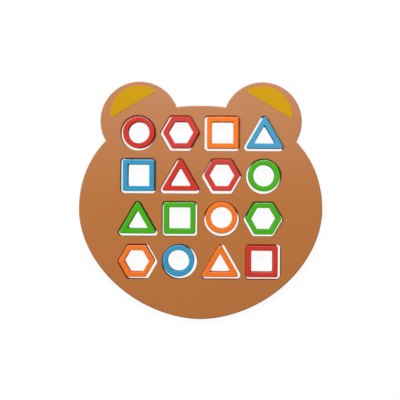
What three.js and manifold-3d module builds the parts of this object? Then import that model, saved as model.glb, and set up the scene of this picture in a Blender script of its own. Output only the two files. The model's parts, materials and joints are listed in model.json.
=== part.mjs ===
// Shape matching board: a bear-head board with sixteen sockets cut right through it.
// Each socket holds a loose coloured ring that lifts straight out.
// Millimetres, +Z up out of the board's face, +Y towards the ears.
// The origin is under the middle of the board's outline, on the surface that it lies on.

import * as THREE from "three";
import { mergeVertices } from "three/addons/utils/BufferGeometryUtils.js";
import Module from "manifold-3d";

// Rings. Every form is RING_SIZE tall, and its band is equally wide all the way round.
const RING_SIZE = 32;
const RING_BAND = 5.2;
const RING_THICKNESS = 10;
const RING_EDGE_RADIUS = 1;
const RING_CORNER_RADIUS = 2;
const RING_INNER_CORNER_RADIUS = 0.6;

// Sockets, in four rows of four. A ring slides about in its socket until it nearly meets a wall.
const SOCKET_CLEARANCE = 1.7;
const SOCKET_CHAMFER = 0.6;
const SEAT_GAP = 0.2;
const COLUMN_WEB = 7;
const ROW_WEB = 8;

// Board. The margins run from the outermost sockets to the widest points of the head.
const BOARD_THICKNESS = 8;
const BOARD_EDGE_RADIUS = 1.5;
const SIDE_MARGIN = 42.05;
const CROWN_MARGIN = 10.3;
const CHIN_MARGIN = 40.4;
const CHEEK_DROP = 12.7;
const CROWN_FULLNESS = 2.15;
const JAW_FULLNESS = 1.86;

// Ears, each placed from the centre of the corner socket below it.
const EAR_RADIUS = 39.9;
const EAR_INSET = 1.45;
const EAR_RISE = 12.2;

// Ear patches: thin film on the face of each ear, a segment of a circle a little above the ear's centre.
// The margin is the least width of bare ear above the film, and the depth is the segment's height.
const PATCH_MARGIN = 4.2;
const PATCH_RISE = 5.85;
const PATCH_DEPTH = 17.3;
const PATCH_TILT = THREE.MathUtils.degToRad(30.5);
const PATCH_THICKNESS = 0.3;

// Facets: two for each curve segment along an arc, and one for each step across a rounded edge.
const EDGE_STEPS = 2;
const HEAD_STEPS = 96;
const EAR_CURVE_SEGMENTS = 24;
const PATCH_CURVE_SEGMENTS = 12;
const FORM_CURVE_SEGMENTS = { circle: 14, hexagon: 1, square: 2, triangle: 2 };

const FINISHES = {
  brown: { color: 0xbb7b48, roughness: 0.55 },
  gold: { color: 0xd0a018, roughness: 0.5 },
  red: { color: 0xd6372b, roughness: 0.4 },
  orange: { color: 0xfb7c22, roughness: 0.4 },
  blue: { color: 0x38a0d0, roughness: 0.4 },
  green: { color: 0x42b018, roughness: 0.4 },
};

const SIDES = { triangle: 3, square: 4, hexagon: 6 };

// The rows from the ears down to the chin, each as [form, finish, node name, lean, share].
// The lean is the way that the ring has slid in its socket, in degrees from +X.
// The share is how much of the way to the seat gap at the wall it has gone.
const LAYOUT = [
  [
    ["circle", "red", "red_circle_ring", 34, 0.48],
    ["hexagon", "red", "red_hexagon_ring_upper", 36, 0.75],
    ["square", "orange", "orange_square_ring", 39, 0.67],
    ["triangle", "blue", "blue_triangle_ring", 43, 0.78],
  ],
  [
    ["square", "blue", "blue_square_ring", 36, 0.56],
    ["triangle", "red", "red_triangle_ring", 55, 0.77],
    ["hexagon", "red", "red_hexagon_ring_lower", 73, 0.7],
    ["circle", "green", "green_circle_ring", 69, 0.56],
  ],
  [
    ["triangle", "green", "green_triangle_ring", 90, 0.7],
    ["square", "green", "green_square_ring", 94, 0.6],
    ["circle", "orange", "orange_circle_ring", 94, 0.93],
    ["hexagon", "green", "green_hexagon_ring", 90, 0.5],
  ],
  [
    ["hexagon", "orange", "orange_hexagon_ring", 140, 0.67],
    ["circle", "blue", "blue_circle_ring", 128, 0.98],
    ["triangle", "orange", "orange_triangle_ring", 143, 1],
    ["square", "red", "red_square_ring", 146, 1],
  ],
];

// Sizes that follow from the ones above. The grid's middle is (0, 0) until the last step.
const ROWS = LAYOUT.length;
const COLUMNS = LAYOUT[0].length;
const SOCKET_SIZE = RING_SIZE + 2 * SOCKET_CLEARANCE;
const COLUMN_PITCH = SOCKET_SIZE + COLUMN_WEB;
const ROW_PITCH = SOCKET_SIZE + ROW_WEB;
const GRID_HALF_WIDTH = (COLUMNS * SOCKET_SIZE + (COLUMNS - 1) * COLUMN_WEB) / 2;
const GRID_HALF_HEIGHT = (ROWS * SOCKET_SIZE + (ROWS - 1) * ROW_WEB) / 2;
const HEAD_HALF_WIDTH = GRID_HALF_WIDTH + SIDE_MARGIN;
const CROWN_HEIGHT = GRID_HALF_HEIGHT + CROWN_MARGIN + CHEEK_DROP;
const JAW_HEIGHT = GRID_HALF_HEIGHT + CHIN_MARGIN - CHEEK_DROP;

const columnX = (column) => (column - (COLUMNS - 1) / 2) * COLUMN_PITCH;
const rowY = (row) => ((ROWS - 1) / 2 - row) * ROW_PITCH;

const EAR_X = columnX(COLUMNS - 1) - EAR_INSET;
const EAR_Y = rowY(0) + EAR_RISE;
const PATCH_RADIUS = EAR_RADIUS - PATCH_RISE - PATCH_MARGIN;
const OUTLINE_TOP = Math.max(EAR_Y + EAR_RADIUS, CROWN_HEIGHT - CHEEK_DROP);
const OUTLINE_BOTTOM = -CHEEK_DROP - JAW_HEIGHT;

const wasm = await Module();
wasm.setup();

function solidOf(geometry) {
  const bare = geometry.clone();
  bare.deleteAttribute("normal");
  bare.deleteAttribute("uv");
  const merged = mergeVertices(bare);
  return new wasm.Manifold(
    new wasm.Mesh({
      numProp: 3,
      vertProperties: merged.attributes.position.array,
      triVerts: new Uint32Array(merged.index.array),
    }),
  );
}

function geometryOf(solid) {
  const { vertProperties, triVerts } = solid.getMesh();
  const geometry = new THREE.BufferGeometry();
  geometry.setAttribute("position", new THREE.BufferAttribute(vertProperties, 3));
  geometry.setIndex(new THREE.BufferAttribute(triVerts, 1));
  geometry.computeVertexNormals();
  return geometry;
}

function pieceMesh(name, geometry, finish) {
  const material = new THREE.MeshStandardMaterial({ ...FINISHES[finish], metalness: 0 });
  const mesh = new THREE.Mesh(geometry, material);
  mesh.name = name;
  return mesh;
}

// A regular outline of straight sides and round corners, with one flat side at the bottom.
function polygonOutline(sides, inradius, cornerRadius, centreY, path) {
  const half = Math.PI / sides;
  const cornerReach = (inradius - cornerRadius) / Math.cos(half);
  for (let corner = 0; corner < sides; corner++) {
    const angle = -Math.PI / 2 + half + 2 * half * corner;
    path.absarc(
      cornerReach * Math.cos(angle),
      centreY + cornerReach * Math.sin(angle),
      cornerRadius,
      angle - half,
      angle + half,
    );
  }
  return path;
}

// One form's outline, grown outwards from the ring's outer wall, or inwards where grow is negative.
// A triangle is three inradii tall, less what its round tip takes off, so its incircle lies low.
function formOutline(form, grow, path) {
  const half = RING_SIZE / 2;
  if (form === "circle") return path.absarc(0, 0, half + grow, 0, 2 * Math.PI);
  const cornerRadius = Math.max(RING_CORNER_RADIUS + grow, RING_INNER_CORNER_RADIUS);
  const inradius = form === "triangle" ? (RING_SIZE + RING_CORNER_RADIUS) / 3 : half;
  return polygonOutline(SIDES[form], inradius + grow, cornerRadius, inradius - half, path);
}

// An outline as a plate with rounded edges, standing on Z = 0.
function roundedPlate(shape, thickness, edgeRadius, curveSegments) {
  const plate = new THREE.ExtrudeGeometry(shape, {
    depth: thickness - 2 * edgeRadius,
    bevelThickness: edgeRadius,
    bevelSize: edgeRadius,
    bevelOffset: -edgeRadius,
    bevelSegments: EDGE_STEPS,
    curveSegments,
  });
  return plate.translate(0, 0, edgeRadius);
}

function ringGeometry(form) {
  const shape = formOutline(form, 0, new THREE.Shape());
  shape.holes.push(formOutline(form, -RING_BAND, new THREE.Path()));
  return roundedPlate(shape, RING_THICKNESS, RING_EDGE_RADIUS, FORM_CURVE_SEGMENTS[form]);
}

// What a socket removes from the board: straight walls, flared to a chamfer at both faces.
// The flares run on past the faces by one more chamfer.
function socketCutter(form) {
  const flare = 2 * SOCKET_CHAMFER;
  const cutter = new THREE.ExtrudeGeometry(formOutline(form, SOCKET_CLEARANCE, new THREE.Shape()), {
    depth: BOARD_THICKNESS - 2 * SOCKET_CHAMFER,
    bevelThickness: flare,
    bevelSize: -flare,
    bevelOffset: flare,
    bevelSegments: 1,
    curveSegments: FORM_CURVE_SEGMENTS[form],
  });
  return cutter.translate(0, 0, SOCKET_CHAMFER);
}

// The head is two half superellipses that meet at the cheeks, its widest line.
function headOutline() {
  const bend = (value, fullness) => Math.sign(value) * Math.abs(value) ** (2 / fullness);
  const points = [];
  for (let step = 0; step < HEAD_STEPS; step++) {
    const angle = (step / HEAD_STEPS) * 2 * Math.PI;
    const above = Math.sin(angle) >= 0;
    const fullness = above ? CROWN_FULLNESS : JAW_FULLNESS;
    const height = above ? CROWN_HEIGHT : JAW_HEIGHT;
    points.push(
      new THREE.Vector2(
        HEAD_HALF_WIDTH * bend(Math.cos(angle), fullness),
        height * bend(Math.sin(angle), fullness) - CHEEK_DROP,
      ),
    );
  }
  return new THREE.Shape(points);
}

function boardGeometry() {
  const plateOf = (shape) =>
    roundedPlate(shape, BOARD_THICKNESS, BOARD_EDGE_RADIUS, EAR_CURVE_SEGMENTS);
  let board = solidOf(plateOf(headOutline()));
  for (const side of [-1, 1]) {
    const ear = new THREE.Shape().absarc(side * EAR_X, EAR_Y, EAR_RADIUS, 0, 2 * Math.PI);
    board = board.add(solidOf(plateOf(ear)));
  }
  LAYOUT.forEach((pieces, row) =>
    pieces.forEach(([form], column) => {
      const cutter = socketCutter(form).translate(columnX(column), rowY(row), 0);
      board = board.subtract(solidOf(cutter));
    }),
  );
  return geometryOf(board);
}

// A segment that faces up and outwards, away from the middle of the head.
function patchGeometry(side) {
  const facing = Math.PI / 2 - side * PATCH_TILT;
  const spread = Math.acos(1 - PATCH_DEPTH / PATCH_RADIUS);
  const segment = new THREE.Shape().absarc(0, 0, PATCH_RADIUS, facing - spread, facing + spread);
  return new THREE.ExtrudeGeometry(segment, {
    depth: PATCH_THICKNESS,
    bevelEnabled: false,
    curveSegments: PATCH_CURVE_SEGMENTS,
  });
}

function patchMesh(name, side) {
  const patch = pieceMesh(name, patchGeometry(side), "gold");
  patch.position.set(side * EAR_X, EAR_Y + PATCH_RISE, BOARD_THICKNESS);
  return patch;
}

function ringMesh([form, finish, name, lean, share], row, column) {
  const ring = pieceMesh(name, ringGeometry(form), finish);
  const slide = share * (SOCKET_CLEARANCE - SEAT_GAP);
  const angle = THREE.MathUtils.degToRad(lean);
  ring.position.set(columnX(column) + slide * Math.cos(angle), rowY(row) + slide * Math.sin(angle), 0);
  return ring;
}

const pieces = new THREE.Group();
pieces.position.y = -(OUTLINE_TOP + OUTLINE_BOTTOM) / 2;
pieces.add(pieceMesh("bear_board", boardGeometry(), "brown"));
pieces.add(patchMesh("ear_patch_left", -1));
pieces.add(patchMesh("ear_patch_right", 1));
LAYOUT.forEach((row, rowIndex) =>
  row.forEach((piece, columnIndex) => pieces.add(ringMesh(piece, rowIndex, columnIndex))),
);

const toy = new THREE.Group();
toy.add(pieces);

export default toy;
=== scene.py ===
"""A shape matching board dressed for its picture: board, ear films and sixteen loose rings.

Sizes are metres in the frame of the loaded model: +Z up out of the board's face, +Y towards the
ears. The board lies on the floor, and each ring rests in a socket that is cut right through the
board.
"""

import json
import math
from collections import namedtuple

import bpy
from bpy.props import FloatProperty, FloatVectorProperty, PointerProperty
from mathutils import Color, Matrix, Vector
from mathutils.geometry import delaunay_2d_cdt
from mathutils.kdtree import KDTree


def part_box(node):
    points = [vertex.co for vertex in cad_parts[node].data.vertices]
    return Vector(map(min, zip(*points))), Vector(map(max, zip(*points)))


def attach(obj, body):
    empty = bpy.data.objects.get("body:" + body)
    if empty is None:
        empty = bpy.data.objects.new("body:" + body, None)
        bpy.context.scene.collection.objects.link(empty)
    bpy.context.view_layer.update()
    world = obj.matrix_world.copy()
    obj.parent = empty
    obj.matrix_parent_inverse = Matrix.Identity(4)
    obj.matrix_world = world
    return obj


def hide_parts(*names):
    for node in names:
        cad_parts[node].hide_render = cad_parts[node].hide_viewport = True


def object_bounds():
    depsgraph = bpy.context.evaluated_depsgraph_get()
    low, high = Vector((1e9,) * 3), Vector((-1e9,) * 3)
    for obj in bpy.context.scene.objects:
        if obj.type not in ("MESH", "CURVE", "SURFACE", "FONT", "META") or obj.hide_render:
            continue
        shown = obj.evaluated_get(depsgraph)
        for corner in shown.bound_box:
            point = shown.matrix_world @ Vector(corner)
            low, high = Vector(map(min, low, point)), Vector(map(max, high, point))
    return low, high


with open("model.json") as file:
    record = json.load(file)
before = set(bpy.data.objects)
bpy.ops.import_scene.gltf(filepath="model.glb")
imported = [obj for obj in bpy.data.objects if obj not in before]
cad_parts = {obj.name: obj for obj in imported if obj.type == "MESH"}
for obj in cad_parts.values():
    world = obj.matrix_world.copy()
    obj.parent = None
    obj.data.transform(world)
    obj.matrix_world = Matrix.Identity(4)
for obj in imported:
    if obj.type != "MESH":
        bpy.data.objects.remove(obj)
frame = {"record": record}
CAD_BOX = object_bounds()

bl_info = {
    "name": "Shape Matching Board",
    "version": (1, 0, 0),
    "blender": (4, 5, 0),
    "location": "View3D > Sidebar > Shape Board",
    "description": "Adds a painted bear-head board, ear films, loose rings and a plain stage",
    "category": "Add Mesh",
}

# What the loaded model says of the pieces
BOARD_NODE = "bear_board"
PATCH_NODES = {-1: "ear_patch_left", 1: "ear_patch_right"}
BODIES = frame["record"]["behaviour"]["bodies"]
BODY_OF = {node: body for body, nodes in BODIES.items() for node in nodes}
RING_NODES = [node for node in BODY_OF if "_ring" in node]
BOARD_LOW, BOARD_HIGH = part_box(BOARD_NODE)
PATCH_LOW, PATCH_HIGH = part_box(PATCH_NODES[1])
RING_LOW, RING_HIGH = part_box("red_circle_ring")

# Forms of the rings and sockets
SIDES = {"triangle": 3, "square": 4, "hexagon": 6}
FORMS = ("circle", *SIDES)
COLUMNS = 4
ROWS = 4

# How finely the outlines, the rounded edges and the flat faces are divided. A face's grid keeps
# clear of its outlines by a share of its step.
CIRCLE_STEPS = 96
CORNER_STEPS = 8
SIDE_STEPS = 14
JAW_STEPS = 150
CROWN_STEPS = 40
EAR_STEPS = 110
NOTCH_STEPS = 8
FILM_STEPS = 60
ROUND_STEPS = 7
CHAMFER_STEPS = 3
FACE_GRID = 0.005
FILM_GRID = 0.0025
GRID_CLEARANCE = 0.6

# How exactly places are found and compared
NOTCH_HALVINGS = 60
SAME_DIRECTION = 1 - 1e-9
MERGE_DISTANCE = 1e-7

# Where the head's outline is hidden by an ear, as an angle from the widest line
UNDER_EAR = math.radians(50)

# The photograph's frame: its width in pixels, the board's middle in it, a pixel's size on the
# board's face and how far the board is turned in it, clockwise
PHOTO_PIXELS = 400
BOARD_MIDDLE_PIXEL = (200.65, 200.55)
PIXEL_SIZE = 0.0010113
BOARD_TURN = math.radians(0.33)

# What the meshes tell their materials: how far an edge may wear, with a painted highlight on ring
# edges that face the ears, and how far the paint has paled, with a painted sheen on the board
# towards its ears
EDGE_ATTRIBUTE = "edge_round"
PALE_PAINT_AND_SHEEN_ATTRIBUTE = "faded"

# How far a ring's edges are worn all round, and how much painted highlight they take on the side
# towards the ears, where the lamp beyond the ears lights them
RING_WEAR = 0.1
EAR_SIDE_PAINTED_HIGHLIGHT = {
    "red_circle_ring": 0.95,
    "blue_square_ring": 0.9,
    "green_circle_ring": 0.6,
    "green_square_ring": 0.6,
    "green_hexagon_ring": 0.45,
    "orange_hexagon_ring": 0.4,
    "orange_square_ring": 0.35,
    "blue_circle_ring": 0.35,
}

# A painted sheen: how far the board pales at its ears, less towards its middle, where the lamp
# beyond the ears lights it. And how far the paint is paler on some rings
BOARD_TOP_PAINTED_SHEEN = 0.055
RING_FADES = {
    "blue_triangle_ring": 0.028,
    "red_hexagon_ring_upper": 0.015,
    "red_hexagon_ring_lower": 0.015,
}

# The stage. The floor lies just under the pieces, so that no two faces share a plane.
LAMPS = ("top_lamp", "side_lamp")
FLOOR_GAP = 0.0001
WHITE = (1.0, 1.0, 1.0, 1.0)


def paint_default(red, green, blue):
    """A screen colour, 0 to 255, as the linear colour that renders the same."""
    return tuple(Color((red / 255, green / 255, blue / 255)).from_srgb_to_scene_linear())


def length(name, description, default):
    return FloatProperty(
        name=name, description=description, default=default, min=0.0, precision=5, unit="LENGTH"
    )


def lamp_power(name, description, default):
    return FloatProperty(name=name, description=description, default=default, min=0.0, unit="POWER")


def lamp_place(name, description, default):
    return FloatVectorProperty(
        name=name, description=description, default=default, subtype="TRANSLATION", unit="LENGTH"
    )


def colour(name, description, red, green, blue):
    return FloatVectorProperty(
        name=name,
        description=description,
        default=paint_default(red, green, blue),
        min=0.0,
        max=1.0,
        subtype="COLOR",
    )


class BoardSizes(bpy.types.PropertyGroup):
    """Sizes of the board and its sockets."""

    edge_radius: length("Edge Radius", "Round-over along the board's outline", 0.0015)
    cheek_line: FloatProperty(
        name="Cheek Line",
        description="Height of the head's widest line along Y",
        default=-0.0097,
        precision=5,
        unit="LENGTH",
    )
    crown_height: length("Crown Height", "From the widest line up to the crown", 0.1058)
    crown_fullness: FloatProperty(
        name="Crown Fullness",
        description="Exponent of the curve above the widest line, 2 for an ellipse",
        default=2.15,
        min=1.2,
    )
    jaw_fullness: FloatProperty(
        name="Jaw Fullness",
        description="Exponent of the curve below the widest line, 2 for an ellipse",
        default=1.86,
        min=1.2,
    )
    ear_radius: length("Ear Radius", "Radius of each ear", 0.0399)
    ear_spread: length("Ear Spread", "From the board's middle to an ear's centre along X", 0.06215)
    notch_radius: length("Notch Radius", "Fillet where an ear meets the head", 0.0006)
    column_pitch: length("Column Pitch", "Between the centres of sockets in a row", 0.0424)
    row_pitch: length("Row Pitch", "Between the centres of sockets in a column", 0.0434)
    grid_rise: length("Grid Rise", "From the board's middle up to the middle of the sockets", 0.003)
    clearance: length("Clearance", "Round a ring that lies in the middle of its socket", 0.0017)
    chamfer: length("Chamfer", "Width of the chamfer round each socket", 0.0006)
    chamfer_ease: length("Chamfer Ease", "Radius of the chamfer's painted corners", 0.0002)


class RingSizes(bpy.types.PropertyGroup):
    """Sizes that all rings share."""

    band: length("Band", "Width of a ring's band", 0.0052)
    edge_radius: length("Edge Radius", "Round-over along a ring's edges", 0.001)
    corner_radius: length("Corner Radius", "Radius of a ring's outer corners", 0.002)
    inner_corner_radius: length("Inner Corner Radius", "Radius of a ring's inner corners", 0.0006)


class FilmSizes(bpy.types.PropertyGroup):
    """Sizes of the film on the ears."""

    rise: length("Rise", "From an ear's centre up to the centre of the film's curve", 0.00585)
    radius: length("Radius", "Radius of the film's curve", 0.02985)
    depth: length("Depth", "Height of the segment", 0.0173)
    tilt: FloatProperty(
        name="Tilt",
        description="How far the segment leans outwards",
        default=math.radians(30.5),
        unit="ROTATION",
    )
    corner_radius: length("Corner Radius", "Radius of the film's two corners", 0.0004)
    edge_radius: length("Edge Radius", "Round-over along the film's edge", 0.0001)


class FinishColours(bpy.types.PropertyGroup):
    """Colours of the paints and the film."""

    brown: colour("Brown Paint", "Board", 184, 113, 53)
    gold: colour("Gold Film", "Ear films", 204, 155, 12)
    red: colour("Red Paint", "Red rings", 210, 52, 40)
    orange: colour("Orange Paint", "Orange rings", 248, 123, 33)
    blue: colour("Blue Paint", "Blue rings", 52, 155, 198)
    green: colour("Green Paint", "Green rings", 70, 176, 10)


class StageSettings(bpy.types.PropertyGroup):
    """Camera, floor and light."""

    camera_height: length("Camera Height", "Above the board's face", 0.6)
    camera_offset: FloatVectorProperty(
        name="Camera Offset",
        description="Where the camera hangs off the board's middle, across and up the picture",
        default=(0.012, 0.018),
        size=2,
        unit="LENGTH",
    )
    floor_size: length("Floor Size", "Side of the square floor", 8.0)
    floor_glow: FloatProperty(
        name="Floor Glow",
        description="Share of the floor's white that needs no light, the rest takes the shadow",
        default=0.82,
        min=0.0,
        max=1.0,
        subtype="FACTOR",
    )
    room_light: FloatProperty(
        name="Room Light",
        description="Strength of the even light from all sides",
        default=0.24,
        min=0.0,
    )
    top_lamp_power: lamp_power("Top Lamp Power", "Power of the soft lamp beyond the ears", 5.6)
    top_lamp_size: length("Top Lamp Size", "Side of the soft lamp beyond the ears", 0.45)
    top_lamp_place: lamp_place(
        "Top Lamp Place",
        "Where the lamp beyond the ears hangs, it points at the board",
        (0.12, 0.65, 0.66),
    )
    side_lamp_power: lamp_power("Side Lamp Power", "Power of the soft lamp on the left", 46.0)
    side_lamp_size: length("Side Lamp Size", "Side of the soft lamp on the left", 1.4)
    side_lamp_place: lamp_place(
        "Side Lamp Place",
        "Where the lamp on the left hangs, it points at the board",
        (-2.4, 0.5, 1.75),
    )


# Outlines are lists of (place, out), where out points out of the solid. They run with the solid on
# the left, until facing_in turns it to the other side.


def heading(angle):
    return Vector((math.cos(angle), math.sin(angle)))


def arc(centre, radius, start, end, steps, hollow=False):
    """Points along an arc. A hollow arc has the solid outside its circle."""
    points = []
    for step in range(steps + 1):
        along = heading(start + (end - start) * step / steps)
        points.append((centre + radius * along, -along if hollow else along))
    return points


def divide_straights(outline, steps):
    """Splits each straight side, where the direction out of the solid doesn't change."""
    divided = []
    for (place, out), (next_place, next_out) in zip(outline, outline[1:] + outline[:1]):
        divided.append((place, out))
        if out.dot(next_out) > SAME_DIRECTION:
            divided += [(place.lerp(next_place, step / steps), out) for step in range(1, steps)]
    return divided


def rounded_polygon(sides, inradius, corner_radius, centre):
    """A regular outline with round corners and a flat side at the bottom."""
    half = math.pi / sides
    reach = (inradius - corner_radius) / math.cos(half)
    outline = []
    for corner in range(sides):
        angle = -math.pi / 2 + half + 2 * half * corner
        pivot = centre + reach * heading(angle)
        outline += arc(pivot, corner_radius, angle - half, angle + half, CORNER_STEPS)
    return divide_straights(outline, SIDE_STEPS)


def form_outline(form, centre, size, grow, ring):
    """A ring's outer outline, grown outwards, or inwards where grow is negative."""
    half = size / 2
    if form == "circle":
        return arc(centre, half + grow, 0, 2 * math.pi, CIRCLE_STEPS)[:-1]
    corner_radius = max(ring.corner_radius + grow, ring.inner_corner_radius)
    # A triangle is three inradii high, less what its round top corner takes off
    inradius = (size + ring.corner_radius) / 3 if form == "triangle" else half
    incentre = centre + Vector((0, inradius - half))
    return rounded_polygon(SIDES[form], inradius + grow, corner_radius, incentre)


def facing_in(outline):
    """The same points with the solid on the other side."""
    return [(place, -out) for place, out in outline]


def signed_power(value, exponent):
    return math.copysign(abs(value) ** exponent, value)


def head_at(angle, board):
    """A point of the head's outline and the direction out of the head there."""
    above = math.sin(angle) >= 0
    fullness = board.crown_fullness if above else board.jaw_fullness
    height = board.crown_height if above else board.cheek_line - BOARD_LOW.y
    across = signed_power(math.cos(angle), 2 / fullness)
    along = signed_power(math.sin(angle), 2 / fullness)
    place = Vector((BOARD_HIGH.x * across, board.cheek_line + height * along))
    slope_x = signed_power(across, fullness - 1) / BOARD_HIGH.x
    slope_y = signed_power(along, fullness - 1) / height
    return place, Vector((slope_x, slope_y)).normalized()


def ear_centre(board):
    return Vector((board.ear_spread, BOARD_HIGH.y - board.ear_radius))


def notch_centre(angle, board):
    place, out = head_at(angle, board)
    return place + board.notch_radius * out


def notch_angle(inside, outside, board):
    """Where the fillet that touches both the head and the ear meets the head."""
    for _ in range(NOTCH_HALVINGS):
        middle = (inside + outside) / 2
        reach = (notch_centre(middle, board) - ear_centre(board)).length
        if reach < board.ear_radius + board.notch_radius:
            inside = middle
        else:
            outside = middle
    return (inside + outside) / 2


def bearing(vector):
    return math.atan2(vector.y, vector.x)


def notch(angle, board, from_head):
    """The fillet between head and ear, walked from the head to the ear or back."""
    centre = notch_centre(angle, board)
    start = bearing(-head_at(angle, board)[1])
    turn = bearing(ear_centre(board) - centre) - start
    turn = (turn + math.pi) % (2 * math.pi) - math.pi
    points = arc(centre, board.notch_radius, start, start + turn, NOTCH_STEPS, hollow=True)
    return points if from_head else points[::-1]


def head_stretch(start, end, steps, board):
    return [head_at(start + (end - start) * step / steps, board) for step in range(steps + 1)]


def board_outline(board):
    """The head and both ears, from the chin up the right side and down the left."""
    cheek_notch = notch_angle(UNDER_EAR, 0, board)
    crown_notch = notch_angle(UNDER_EAR, math.pi / 2, board)
    ear = ear_centre(board)
    ear_start = bearing(notch_centre(cheek_notch, board) - ear)
    ear_end = bearing(notch_centre(crown_notch, board) - ear) % (2 * math.pi)
    right = head_stretch(-math.pi / 2, cheek_notch, JAW_STEPS, board)
    right += notch(cheek_notch, board, from_head=True)[1:]
    right += arc(ear, board.ear_radius, ear_start, ear_end, EAR_STEPS)[1:]
    right += notch(crown_notch, board, from_head=False)[1:]
    right += head_stretch(crown_notch, math.pi / 2, CROWN_STEPS, board)[1:]
    flip = Vector((-1, 1))
    left = [(place * flip, out * flip) for place, out in right[-2:0:-1]]
    return right + left


def film_outline(side, film, board):
    """A segment of a circle on an ear's face, facing up and outwards, with eased corners."""
    centre = ear_centre(board) * Vector((side, 1)) + Vector((0, film.rise))
    facing = math.pi / 2 - side * film.tilt
    ease = film.corner_radius
    spread = math.acos((film.radius - film.depth + ease) / (film.radius - ease))
    outline = arc(centre, film.radius, facing - spread, facing + spread, FILM_STEPS)
    far_corner = centre + (film.radius - ease) * heading(facing + spread)
    near_corner = centre + (film.radius - ease) * heading(facing - spread)
    chord = facing + math.pi
    outline += arc(far_corner, ease, facing + spread, chord, CORNER_STEPS)[1:]
    outline += arc(near_corner, ease, chord, facing - spread + 2 * math.pi, CORNER_STEPS)[:-1]
    return divide_straights(outline, SIDE_STEPS)


# Wall profiles are lists of (inset into the solid, height, tilt of the surface), from the top face
# down


def mirrored_profile(upper, thickness):
    return upper + [(inset, thickness - height, -tilt) for inset, height, tilt in reversed(upper)]


def round_over(radius, thickness):
    """A wall whose two edges are quarter rounds."""
    upper = []
    for step in range(ROUND_STEPS + 1):
        tilt = math.pi / 2 * (1 - step / ROUND_STEPS)
        inset = radius * (1 - math.cos(tilt))
        upper.append((inset, thickness - radius * (1 - math.sin(tilt)), tilt))
    return mirrored_profile(upper, thickness)


def eased_chamfer(width, ease, thickness):
    """A wall whose two edges are chamfers, with the chamfers' corners eased."""
    shift = ease * math.tan(math.pi / 8)
    corners = [
        (width + shift, thickness - ease, math.pi / 2, math.pi / 4),
        (ease, thickness - width - shift, math.pi / 4, 0.0),
    ]
    upper = []
    for inset, height, start, end in corners:
        for step in range(CHAMFER_STEPS + 1):
            tilt = start + (end - start) * step / CHAMFER_STEPS
            upper.append((inset - ease * math.cos(tilt), height + ease * math.sin(tilt), tilt))
    return mirrored_profile(upper, thickness)


class Skin:
    """A mesh in the making: points, their normals, how much of an edge they are, and faces."""

    def __init__(self):
        self.points = []
        self.normals = []
        self.edges = []
        self.faces = []

    def add_point(self, place, normal, edge=0.0):
        self.points.append(place)
        self.normals.append(normal)
        self.edges.append(edge)
        return len(self.points) - 1

    def add_row(self, outline, inset, height, tilt, base, wear=1.0, ear_side_highlight=0.0):
        """One loop of an outline, set into the solid by the inset.

        Wear is how far its edge is worn all round. Ear side highlight is a painted highlight: how
        much paler its edge is painted where it faces the ears and the lamp beyond them.
        """
        flat, steep = math.cos(tilt), math.sin(tilt)
        row = []
        for place, out in outline:
            spot = place - inset * out
            normal = (out.x * flat, out.y * flat, steep)
            # Ring edges that face the ears take a painted highlight on top of their wear
            rub_and_highlight = wear + ear_side_highlight * max(0.0, out.y) ** 2
            edge = rub_and_highlight * abs(math.sin(2 * tilt))
            row.append(self.add_point((spot.x, spot.y, base + height), normal, edge))
        return row

    def add_strip(self, upper, lower):
        for step in range(len(upper)):
            after = (step + 1) % len(upper)
            self.faces.append((upper[step], lower[step], lower[after], upper[after]))

    def add_wall(self, outline, profile, base):
        """A wall round an outline. Gives back its top row and its bottom row."""
        rows = [self.add_row(outline, *step, base) for step in profile]
        for upper, lower in zip(rows, rows[1:]):
            self.add_strip(upper, lower)
        return rows[0], rows[-1]

    def add_faces_between(self, tops, bottoms, grid):
        """Fills the two flat faces between the walls' end rows with even triangles."""
        loops = [[Vector(self.points[index][:2]) for index in row] for row in tops]
        places, borders, fixed = [], [], []
        for loop, top, bottom in zip(loops, tops, bottoms):
            start, count = len(places), len(loop)
            places += loop
            fixed += list(zip(top, bottom))
            borders += [(start + step, start + (step + 1) % count) for step in range(count)]
        places += spare_grid(places, grid)
        top_height = self.points[tops[0][0]][2]
        bottom_height = self.points[bottoms[0][0]][2]
        pairs = dict(enumerate(fixed))
        for triangle in triangles_inside(places, borders):
            for corner in triangle:
                if corner not in pairs:
                    upper = self.add_point((*places[corner], top_height), (0, 0, 1))
                    lower = self.add_point((*places[corner], bottom_height), (0, 0, -1))
                    pairs[corner] = (upper, lower)
            self.faces.append(tuple(pairs[corner][0] for corner in triangle))
            self.faces.append(tuple(pairs[corner][1] for corner in reversed(triangle)))

    def make_object(self, name, material, pale_and_sheen_values):
        """The finished piece.

        The pale and sheen values say for each point how far its colour goes to white, as paler
        paint on some rings and as a painted sheen on the board towards its ears.
        """
        mesh = bpy.data.meshes.new(name)
        mesh.from_pydata(self.points, [], self.faces)
        mesh.validate()
        mesh.shade_smooth()
        mesh.normals_split_custom_set_from_vertices(self.normals)
        for attribute, values in ((EDGE_ATTRIBUTE, self.edges), (PALE_PAINT_AND_SHEEN_ATTRIBUTE, pale_and_sheen_values)):
            mesh.attributes.new(attribute, "FLOAT", "POINT").data.foreach_set("value", values)
        mesh.materials.append(material)
        piece = bpy.data.objects.new(name, mesh)
        bpy.context.scene.collection.objects.link(piece)
        return piece


def spare_grid(places, grid):
    """Points in staggered rows over the places' box, well clear of the places themselves."""
    tree = KDTree(len(places))
    for index, place in enumerate(places):
        tree.insert((place.x, place.y, 0.0), index)
    tree.balance()
    low_x, high_x = min(p.x for p in places), max(p.x for p in places)
    low_y, high_y = min(p.y for p in places), max(p.y for p in places)
    row_step = grid * math.sqrt(3) / 2
    spots = []
    for row in range(int((high_y - low_y) / row_step) + 1):
        stagger = grid / 2 * (row % 2)
        for column in range(int((high_x - low_x) / grid) + 1):
            spot = Vector((low_x + stagger + column * grid, low_y + row * row_step))
            if tree.find((spot.x, spot.y, 0.0))[2] > GRID_CLEARANCE * grid:
                spots.append(spot)
    return spots


def edges_of(triangle):
    return zip(triangle, triangle[1:] + triangle[:1])


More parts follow.
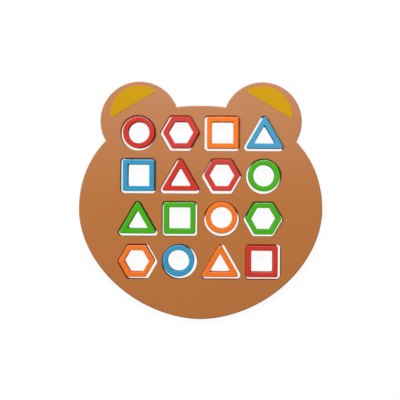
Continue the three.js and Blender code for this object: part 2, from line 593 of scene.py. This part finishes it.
def triangles_inside(places, borders):
    """Triangles between the places that lie on the left of the border edges."""
    fill_hull = 0
    made = delaunay_2d_cdt(places, borders, [], fill_hull, MERGE_DISTANCE, True)
    corners, origins = made[2:4]
    triangles = [tuple(origins[corner][0] for corner in triangle) for triangle in corners]
    owner = {edge: triangle for triangle in triangles for edge in edges_of(triangle)}
    walls = set(borders)
    inside = set()
    waiting = [owner[edge] for edge in borders]
    while waiting:
        triangle = waiting.pop()
        if triangle in inside:
            continue
        inside.add(triangle)
        crossed = [edge for edge in edges_of(triangle) if edge not in walls]
        waiting += [owner[end, start] for start, end in crossed]
    return sorted(inside)


# Materials

# How far the shared effects stretch and refine their noise
GRAIN_STRETCH = (0.05, 1.0, 1.0)
SCUFF_STRETCH = (0.12, 1.6, 1.0)
CROSS_SCUFF_STRETCH = (1.6, 0.12, 1.0)
PORE_FINENESS = 3.2
FINE_PEEL_FINENESS = 4.0
FINE_PEEL_SHARE = 0.25

# The values of its noise between which an effect grows from nothing to full. Specks fade out
# between theirs, and wear counts from its start.
GRAIN_RANGE = (0.3, 0.7)
CLOUD_RANGE = (0.3, 0.7)
PORE_RANGE = (0.58, 0.72)
SCUFF_RANGE = (0.6, 0.74)
SPECK_RANGE = (0.05, 0.11)
WEAR_RANGE = (-0.12, 0.12)

# The noise at which edges start to wear, and how far a full spread lowers it
WEAR_START = 0.85
WEAR_SPREAD_REACH = 0.5

# What the effects do to a paint: factors on its colour, the white in a worn edge and in the
# painted highlight on ring edges that face the ears, and how much the clouds count beside scuffs
# and wear in the roughness
PALE_CLOUD = 1.03
DARK_CLOUD = 0.9
GRAIN_SHADE = 0.75
SPECK_SHADE = 0.55
WORN_AND_HIGHLIGHT_WHITE = 0.35
CLOUD_ROUGHNESS = 0.5

# The floor. Its own white and the light that it takes come to 1 together, which is plain white.
# How open it lies within a reach tells the gaps beside the rings and the rings' holes. A narrow
# gap keeps little of the white and takes a dark tone, which is painted shade, and the white that
# the walls of a hole mirror is dimmed, which is painted shade in their reflection.
FLOOR_WHITE = 1.14
FLOOR_TONE = (0.45, 0.45, 0.45, 1.0)
GAP_PAINTED_SHADE_TONE = (0.05, 0.05, 0.05, 1.0)
GAP_PAINTED_SHADE_WHITE = 0.02
GAP_REACH = 0.003
GAP_RANGE = (0.285, 0.355)
GAP_SAMPLES = 128
HOLE_REACH = 0.02
HOLE_RANGE = (0.5, 1.0)
HOLE_SAMPLES = 16


def add_node(tree, kind, inputs=None, **settings):
    """Adds a node with its settings. An input given as a socket is linked, and any other is set."""
    node = tree.nodes.new(kind)
    for name, value in settings.items():
        setattr(node, name, value)
    for key, value in (inputs or {}).items():
        if isinstance(value, bpy.types.NodeSocket):
            tree.links.new(value, node.inputs[key])
        else:
            node.inputs[key].default_value = value
    return node


def noise(tree, vector, scale, detail, roughness=0.5):
    """A noise texture's value. Its scale is in spots to the metre."""
    inputs = {"Vector": vector, "Scale": scale, "Detail": detail, "Roughness": roughness}
    return add_node(tree, "ShaderNodeTexNoise", inputs).outputs["Fac"]


def math_node(tree, operation, *values):
    inputs = dict(enumerate(values))
    return add_node(tree, "ShaderNodeMath", inputs, operation=operation).outputs[0]


def remap(tree, value, from_low, from_high, to_low=0.0, to_high=1.0):
    inputs = {0: value, 1: from_low, 2: from_high, 3: to_low, 4: to_high}
    return add_node(tree, "ShaderNodeMapRange", inputs, clamp=True).outputs[0]


def stretched(tree, vector, scale):
    return add_node(tree, "ShaderNodeMapping", {"Vector": vector, "Scale": scale}).outputs[0]


def mix_colours(tree, factor, first, second):
    node = add_node(tree, "ShaderNodeMix", {0: factor, 6: first, 7: second}, data_type="RGBA")
    return node.outputs[2]


def start_group(name, inputs, outputs):
    """A shader node group with a Coordinates input, number inputs and number outputs."""
    tree = bpy.data.node_groups.new(name, "ShaderNodeTree")
    tree.interface.new_socket("Coordinates", in_out="INPUT", socket_type="NodeSocketVector")
    number = "NodeSocketFloat"
    for socket_name, default in inputs.items():
        socket = tree.interface.new_socket(socket_name, in_out="INPUT", socket_type=number)
        socket.default_value = default
    for socket_name in outputs:
        tree.interface.new_socket(socket_name, in_out="OUTPUT", socket_type=number)
    return tree, tree.nodes.new("NodeGroupInput").outputs


def wood_grain_group():
    """Grain that runs along X and shows faintly through paint."""
    tree, given = start_group("wood_grain", {"Scale": 380.0}, ["Lines", "Pores"])
    along = stretched(tree, given["Coordinates"], GRAIN_STRETCH)
    lines = noise(tree, along, given["Scale"], detail=5.0, roughness=0.6)
    pore_scale = math_node(tree, "MULTIPLY", given["Scale"], PORE_FINENESS)
    pores = noise(tree, along, pore_scale, detail=2.0)
    masks = {"Lines": remap(tree, lines, *GRAIN_RANGE), "Pores": remap(tree, pores, *PORE_RANGE)}
    add_node(tree, "NodeGroupOutput", masks)
    return tree


def paint_skin_group():
    """The uneven surface of sprayed paint: a peel to feel, and a cloudy tone to see."""
    tree, given = start_group(
        "paint_skin", {"Peel Scale": 600.0, "Cloud Scale": 30.0}, ["Peel", "Clouds"]
    )
    spot = given["Coordinates"]
    coarse = noise(tree, spot, given["Peel Scale"], detail=1.0)
    fine_scale = math_node(tree, "MULTIPLY", given["Peel Scale"], FINE_PEEL_FINENESS)
    fine = noise(tree, spot, fine_scale, detail=2.0)
    peel = math_node(tree, "MULTIPLY_ADD", fine, FINE_PEEL_SHARE, coarse)
    clouds = noise(tree, spot, given["Cloud Scale"], detail=4.0, roughness=0.6)
    clouds = remap(tree, clouds, *CLOUD_RANGE)
    add_node(tree, "NodeGroupOutput", {"Peel": peel, "Clouds": clouds})
    return tree


def edge_wear_and_highlight_group():
    """Where paint has worn thin along rounded edges, and the painted highlight on ring edges that
    face the ears.
    """
    tree, given = start_group("edge_wear", {"Patch Scale": 260.0, "Spread": 0.5}, ["Worn"])
    edge = add_node(tree, "ShaderNodeAttribute", attribute_name=EDGE_ATTRIBUTE).outputs["Fac"]
    patch_scale = given["Patch Scale"]
    patches = noise(tree, given["Coordinates"], patch_scale, detail=4.0, roughness=0.65)
    reach = math_node(tree, "MULTIPLY", given["Spread"], WEAR_SPREAD_REACH)
    start = math_node(tree, "SUBTRACT", WEAR_START, reach)
    broken = remap(tree, math_node(tree, "SUBTRACT", patches, start), *WEAR_RANGE)
    wear_and_highlight = math_node(tree, "MULTIPLY", broken, edge)
    add_node(tree, "NodeGroupOutput", {"Worn": wear_and_highlight})
    return tree


def handling_group():
    """Fine scuffs in all directions and small specks, from handling."""
    tree, given = start_group(
        "handling", {"Scuff Scale": 160.0, "Speck Scale": 240.0}, ["Scuffs", "Specks"]
    )
    spot, scuff_scale = given["Coordinates"], given["Scuff Scale"]
    one_way, other_way = [
        noise(tree, stretched(tree, spot, stretch), scuff_scale, detail=3.0)
        for stretch in (SCUFF_STRETCH, CROSS_SCUFF_STRETCH)
    ]
    scuffs = remap(tree, math_node(tree, "MAXIMUM", one_way, other_way), *SCUFF_RANGE)
    cells = add_node(
        tree,
        "ShaderNodeTexVoronoi",
        {"Vector": spot, "Scale": given["Speck Scale"], "Randomness": 1.0},
    )
    specks = remap(tree, cells.outputs["Distance"], *SPECK_RANGE, 1.0, 0.0)
    add_node(tree, "NodeGroupOutput", {"Scuffs": scuffs, "Specks": specks})
    return tree


GROUP_MAKERS = {
    "wood_grain": wood_grain_group,
    "paint_skin": paint_skin_group,
    "edge_wear": edge_wear_and_highlight_group,
    "handling": handling_group,
}


def place_group(tree, name, coordinates, **values):
    """Places a shared effect in a material, and builds the effect the first time."""
    group = bpy.data.node_groups.get(name) or GROUP_MAKERS[name]()
    node = add_node(tree, "ShaderNodeGroup", node_tree=group)
    tree.links.new(coordinates, node.inputs["Coordinates"])
    for key, value in values.items():
        node.inputs[key.replace("_", " ").title()].default_value = value
    return node.outputs


# How a finish looks, apart from its colour. Shares are of the full effect, heights are metres, and
# smooth and rough are the ends of its roughness.
Finish = namedtuple(
    "Finish",
    "grain_share cloud_share wear_share wear_spread speck_share "
    "peel_scale peel_height grain_height smooth rough specular",
)
BOARD_FINISH = Finish(
    grain_share=0.16,
    cloud_share=0.3,
    wear_share=0.3,
    wear_spread=0.5,
    speck_share=0.18,
    peel_scale=520.0,
    peel_height=0.00001,
    grain_height=0.00001,
    smooth=0.44,
    rough=0.58,
    specular=0.35,
)
RING_FINISH = Finish(
    grain_share=0.07,
    cloud_share=0.25,
    wear_share=1.0,
    wear_spread=0.9,
    speck_share=0.12,
    peel_scale=650.0,
    peel_height=0.000008,
    grain_height=0.000004,
    smooth=0.24,
    rough=0.38,
    specular=0.2,
)
FILM_FINISH = Finish(
    grain_share=0.05,
    cloud_share=0.25,
    wear_share=0.2,
    wear_spread=0.5,
    speck_share=0.2,
    peel_scale=900.0,
    peel_height=0.000006,
    grain_height=0.000003,
    smooth=0.38,
    rough=0.52,
    specular=0.08,
)


def shade(paint, factor):
    """A paint made darker or lighter, as a colour with alpha."""
    return (*[min(1.0, channel * factor) for channel in paint], 1.0)


def tint(paint, share):
    """A paint mixed with white, as a colour with alpha."""
    return (*[channel + (1.0 - channel) * share for channel in paint], 1.0)


def finish_material(name, paint, finish):
    """Paint or film over wood: cloudy tone, faint grain, thin edges, specks and a fine peel.

    Ring edges that face the ears also take a painted highlight, and the board a painted sheen
    towards its ears.
    """
    material = bpy.data.materials.new(name)
    material.use_nodes = True
    material.diffuse_color = (*paint, 1.0)
    tree = material.node_tree
    tree.nodes.clear()
    spot = add_node(tree, "ShaderNodeTexCoord").outputs["Object"]
    grain = place_group(tree, "wood_grain", spot)
    skin = place_group(tree, "paint_skin", spot, peel_scale=finish.peel_scale)
    wear = place_group(tree, "edge_wear", spot, spread=finish.wear_spread)
    marks = place_group(tree, "handling", spot)

    cloud_factor = math_node(tree, "MULTIPLY", skin["Clouds"], finish.cloud_share)
    tone = mix_colours(tree, cloud_factor, shade(paint, PALE_CLOUD), shade(paint, DARK_CLOUD))
    grain_factor = math_node(tree, "MULTIPLY", grain["Lines"], finish.grain_share)
    tone = mix_colours(tree, grain_factor, tone, shade(paint, GRAIN_SHADE))
    # Paler paint on some rings, and a painted sheen on the board towards its ears
    faded = add_node(tree, "ShaderNodeAttribute", attribute_name=PALE_PAINT_AND_SHEEN_ATTRIBUTE).outputs["Fac"]
    tone = mix_colours(tree, faded, tone, WHITE)
    # Worn edges go paler, and so do ring edges that face the ears, as a painted highlight
    wear_and_highlight_factor = math_node(tree, "MULTIPLY", wear["Worn"], finish.wear_share)
    tone = mix_colours(tree, wear_and_highlight_factor, tone, tint(paint, WORN_AND_HIGHLIGHT_WHITE))
    speck_factor = math_node(tree, "MULTIPLY", marks["Specks"], finish.speck_share)
    tone = mix_colours(tree, speck_factor, tone, shade(paint, SPECK_SHADE))

    rub_and_highlight = math_node(tree, "MAXIMUM", marks["Scuffs"], wear["Worn"])
    unevenness = math_node(tree, "MULTIPLY_ADD", skin["Clouds"], CLOUD_ROUGHNESS, rub_and_highlight)
    roughness = remap(tree, unevenness, 0.0, 1.0 + CLOUD_ROUGHNESS, finish.smooth, finish.rough)

    peel = add_node(
        tree, "ShaderNodeBump", {"Height": skin["Peel"], "Distance": finish.peel_height}
    )
    relief = add_node(
        tree,
        "ShaderNodeBump",
        {
            "Height": grain["Pores"],
            "Distance": finish.grain_height,
            "Normal": peel.outputs["Normal"],
        },
        invert=True,
    )
    surface = add_node(
        tree,
        "ShaderNodeBsdfPrincipled",
        {
            "Base Color": tone,
            "Roughness": roughness,
            "Specular IOR Level": finish.specular,
            "Normal": relief.outputs["Normal"],
        },
    )
    add_node(tree, "ShaderNodeOutputMaterial", {"Surface": surface.outputs[0]})
    return material


def shown_white(tree, direct_after_gap_shade=1.0, mirrored_after_hole_shade=1.0):
    """The share of white that shows: directly to the camera, and in a gloss or through glass.

    The white lights nothing.
    """
    path = add_node(tree, "ShaderNodeLightPath").outputs
    seen = math_node(tree, "MULTIPLY", path["Is Camera Ray"], direct_after_gap_shade)
    indirect = math_node(tree, "MAXIMUM", path["Is Glossy Ray"], path["Is Transmission Ray"])
    return math_node(tree, "MAXIMUM", seen, math_node(tree, "MULTIPLY", indirect, mirrored_after_hole_shade))


def openness(tree, reach, samples):
    """How open the sky over a spot is, counting what lies within a reach."""
    node = add_node(tree, "ShaderNodeAmbientOcclusion", {"Distance": reach}, samples=samples)
    return node.outputs["AO"]


def floor_material(stage):
    """A white floor: most of its white is its own, and the rest takes light and shadow."""
    material = bpy.data.materials.new("white_floor")
    material.use_nodes = True
    tree = material.node_tree
    tree.nodes.clear()
    # Painted shade: in a narrow gap the floor shows only a small share of its white
    direct_after_gap_shade = remap(tree, openness(tree, GAP_REACH, GAP_SAMPLES), *GAP_RANGE, GAP_PAINTED_SHADE_WHITE, 1.0)
    # Painted shade in a reflection: the white that the walls of a hole mirror is dimmed
    mirrored_after_hole_shade = remap(tree, openness(tree, HOLE_REACH, HOLE_SAMPLES), *HOLE_RANGE)
    # Painted shade: the floor's tone turns dark in a narrow gap
    tone = mix_colours(tree, direct_after_gap_shade, GAP_PAINTED_SHADE_TONE, FLOOR_TONE)
    lit = add_node(tree, "ShaderNodeBsdfDiffuse", {"Color": tone})
    own = add_node(tree, "ShaderNodeEmission", {"Color": WHITE, "Strength": FLOOR_WHITE})
    share = math_node(tree, "MULTIPLY", shown_white(tree, direct_after_gap_shade, mirrored_after_hole_shade), stage.floor_glow)
    mixed = add_node(
        tree, "ShaderNodeMixShader", {0: share, 1: lit.outputs[0], 2: own.outputs[0]}
    )
    add_node(tree, "ShaderNodeOutputMaterial", {"Surface": mixed.outputs[0]})
    return material


def light_room(stage):
    """Even light from all sides, in front of a white background."""
    world = bpy.data.worlds.new("white_room")
    bpy.context.scene.world = world
    world.use_nodes = True
    tree = world.node_tree
    tree.nodes.clear()
    light = add_node(tree, "ShaderNodeBackground", {"Color": WHITE, "Strength": stage.room_light})
    white = add_node(tree, "ShaderNodeBackground", {"Color": WHITE, "Strength": 1.0})
    share = shown_white(tree)
    mixed = add_node(
        tree, "ShaderNodeMixShader", {0: share, 1: light.outputs[0], 2: white.outputs[0]}
    )
    add_node(tree, "ShaderNodeOutputWorld", {"Surface": mixed.outputs[0]})


# Pieces


def dress(piece, node):
    """Puts a piece in the place of the model's own, on the same body."""
    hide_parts(node)
    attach(piece, BODY_OF[node])


def form_of(node):
    return next(form for form in FORMS if form in node)


def ring_middle(node):
    low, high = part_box(node)
    return ((low + high) / 2).xy


def socket_centre(node, board):
    """The place in the grid of sockets that is nearest to a ring."""
    rest = ring_middle(node)
    column = round(rest.x / board.column_pitch + (COLUMNS - 1) / 2)
    row = round((rest.y - board.grid_rise) / board.row_pitch + (ROWS - 1) / 2)
    across = (column - (COLUMNS - 1) / 2) * board.column_pitch
    along = (row - (ROWS - 1) / 2) * board.row_pitch
    return Vector((across, board.grid_rise + along))


class SHAPEBOARD_OT_add_board(bpy.types.Operator):
    """Add the painted board with its sockets"""

    bl_idname = "shape_board.add_board"
    bl_label = "Add Board"
    bl_options = {"REGISTER", "UNDO"}

    def execute(self, context):
        board, ring = context.scene.board_sizes, context.scene.ring_sizes
        thickness = BOARD_HIGH.z - BOARD_LOW.z
        ring_size = RING_HIGH.y - RING_LOW.y
        skin = Skin()
        edge = round_over(board.edge_radius, thickness)
        walls = [skin.add_wall(board_outline(board), edge, BOARD_LOW.z)]
        edge = eased_chamfer(board.chamfer, board.chamfer_ease, thickness)
        for node in RING_NODES:
            centre = socket_centre(node, board)
            socket = form_outline(form_of(node), centre, ring_size, board.clearance, ring)
            walls.append(skin.add_wall(facing_in(socket)[::-1], edge, BOARD_LOW.z))
        tops, bottoms = zip(*walls)
        skin.add_faces_between(tops, bottoms, FACE_GRID)
        material = finish_material("brown_paint", context.scene.finish_colours.brown, BOARD_FINISH)
        # Painted sheen: the board goes paler up towards its ears, where the lamp beyond them lights
        # it
        pale_and_sheen_values = [BOARD_TOP_PAINTED_SHEEN * max(0.0, point[1] / BOARD_HIGH.y) for point in skin.points]
        dress(skin.make_object("painted_board", material, pale_and_sheen_values), BOARD_NODE)
        return {"FINISHED"}


class SHAPEBOARD_OT_add_ear_films(bpy.types.Operator):
    """Add the gold film on both ears"""

    bl_idname = "shape_board.add_ear_films"
    bl_label = "Add Ear Films"
    bl_options = {"REGISTER", "UNDO"}

    def execute(self, context):
        board, film = context.scene.board_sizes, context.scene.film_sizes
        material = finish_material("gold_film", context.scene.finish_colours.gold, FILM_FINISH)
        edge = round_over(film.edge_radius, PATCH_HIGH.z - PATCH_LOW.z)
        for side, node in PATCH_NODES.items():
            skin = Skin()
            top, bottom = skin.add_wall(film_outline(side, film, board), edge, PATCH_LOW.z)
            skin.add_faces_between([top], [bottom], FILM_GRID)
            pale_and_sheen_values = [0.0] * len(skin.points)
            piece = skin.make_object(node.replace("patch", "film"), material, pale_and_sheen_values)
            dress(piece, node)
        return {"FINISHED"}


class SHAPEBOARD_OT_add_rings(bpy.types.Operator):
    """Add the sixteen loose rings"""

    bl_idname = "shape_board.add_rings"
    bl_label = "Add Rings"
    bl_options = {"REGISTER", "UNDO"}

    def execute(self, context):
        ring, colours = context.scene.ring_sizes, context.scene.finish_colours
        materials = {}
        for node in RING_NODES:
            paint = node.split("_")[0]
            slot = f"{paint}_paint"
            if paint not in materials:
                materials[paint] = finish_material(slot, getattr(colours, paint), RING_FINISH)
            low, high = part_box(node)
            form, centre = form_of(node), ring_middle(node)
            outer = form_outline(form, centre, high.y - low.y, 0.0, ring)
            inner = facing_in(form_outline(form, centre, high.y - low.y, -ring.band, ring))
            profile = round_over(ring.edge_radius, high.z - low.z)
            skin = Skin()
            # Painted highlight on the edges that face the ears
            ear_side_highlight = EAR_SIDE_PAINTED_HIGHLIGHT.get(node, 0.0)
            rows = [skin.add_row(outer, *step, low.z, RING_WEAR, ear_side_highlight) for step in profile]
            rows += [skin.add_row(inner, *step, low.z, RING_WEAR) for step in reversed(profile)]
            for upper, lower in zip(rows, rows[1:] + rows[:1]):
                skin.add_strip(upper, lower)
            pale_and_sheen_values = [RING_FADES.get(node, 0.0)] * len(skin.points)
            dress(skin.make_object(f"painted_{node}", materials[paint], pale_and_sheen_values), node)
        return {"FINISHED"}


class SHAPEBOARD_OT_add_stage(bpy.types.Operator):
    """Add the floor, the light and the camera"""

    bl_idname = "shape_board.add_stage"
    bl_label = "Add Stage"
    bl_options = {"REGISTER", "UNDO"}

    def execute(self, context):
        stage, scene = context.scene.stage_settings, context.scene
        scene.view_settings.view_transform = "Standard"
        light_room(stage)
        self.add_floor(scene, stage)
        for name in LAMPS:
            self.add_lamp(scene, stage, name)
        self.add_camera(scene, stage)
        return {"FINISHED"}

    def add_floor(self, scene, stage):
        half = stage.floor_size / 2
        under = CAD_BOX[0].z - FLOOR_GAP
        signs = ((-1, -1), (1, -1), (1, 1), (-1, 1))
        corners = [(half * across, half * along, under) for across, along in signs]
        mesh = bpy.data.meshes.new("studio_floor")
        mesh.from_pydata(corners, [], [(0, 1, 2, 3)])
        mesh.materials.append(floor_material(stage))
        floor = bpy.data.objects.new("studio_floor", mesh)
        scene.collection.objects.link(floor)

    def add_lamp(self, scene, stage, name):
        light = bpy.data.lights.new(name, "AREA")
        light.energy = getattr(stage, f"{name}_power")
        light.size = getattr(stage, f"{name}_size")
        place = Vector(getattr(stage, f"{name}_place"))
        lamp = bpy.data.objects.new(name, light)
        lamp.location = place
        lamp.rotation_euler = (-place).to_track_quat("-Z", "Y").to_euler()
        scene.collection.objects.link(lamp)

    def add_camera(self, scene, stage):
        lens = bpy.data.cameras.new("overhead_camera")
        view = PHOTO_PIXELS * PIXEL_SIZE
        lens.lens = lens.sensor_width * stage.camera_height / view
        across = (PHOTO_PIXELS / 2 - BOARD_MIDDLE_PIXEL[0]) * PIXEL_SIZE
        along = (BOARD_MIDDLE_PIXEL[1] - PHOTO_PIXELS / 2) * PIXEL_SIZE
        lens.shift_x = (across - stage.camera_offset[0]) / view
        lens.shift_y = (along - stage.camera_offset[1]) / view
        camera = bpy.data.objects.new("overhead_camera", lens)
        place = Matrix.Rotation(BOARD_TURN, 2) @ Vector(stage.camera_offset)
        camera.location = (*place, BOARD_HIGH.z + stage.camera_height)
        camera.rotation_euler = (0.0, 0.0, BOARD_TURN)
        scene.collection.objects.link(camera)
        scene.camera = camera


class SHAPEBOARD_PT_pieces(bpy.types.Panel):
    """Sizes, colours and buttons for the board's pieces"""

    bl_idname = "SHAPEBOARD_PT_pieces"
    bl_label = "Shape Matching Board"
    bl_space_type = "VIEW_3D"
    bl_region_type = "UI"
    bl_category = "Shape Board"

    def draw(self, context):
        for settings, group in SETTINGS.items():
            box = self.layout.box()
            box.label(text=group.__doc__)
            for name in group.__annotations__:
                box.prop(getattr(context.scene, settings), name)
        for operator in OPERATORS:
            self.layout.operator(operator.bl_idname)


SETTINGS = {
    "board_sizes": BoardSizes,
    "ring_sizes": RingSizes,
    "film_sizes": FilmSizes,
    "finish_colours": FinishColours,
    "stage_settings": StageSettings,
}
OPERATORS = (
    SHAPEBOARD_OT_add_board,
    SHAPEBOARD_OT_add_ear_films,
    SHAPEBOARD_OT_add_rings,
    SHAPEBOARD_OT_add_stage,
)
CLASSES = (*SETTINGS.values(), *OPERATORS, SHAPEBOARD_PT_pieces)


def register():
    for cls in CLASSES:
        bpy.utils.register_class(cls)
    for name, group in SETTINGS.items():
        setattr(bpy.types.Scene, name, PointerProperty(type=group))


def unregister():
    for name in SETTINGS:
        delattr(bpy.types.Scene, name)
    for cls in reversed(CLASSES):
        bpy.utils.unregister_class(cls)


def main():
    register()
    bpy.ops.shape_board.add_board()
    bpy.ops.shape_board.add_ear_films()
    bpy.ops.shape_board.add_rings()
    bpy.ops.shape_board.add_stage()


if __name__ == "__main__":
    main()
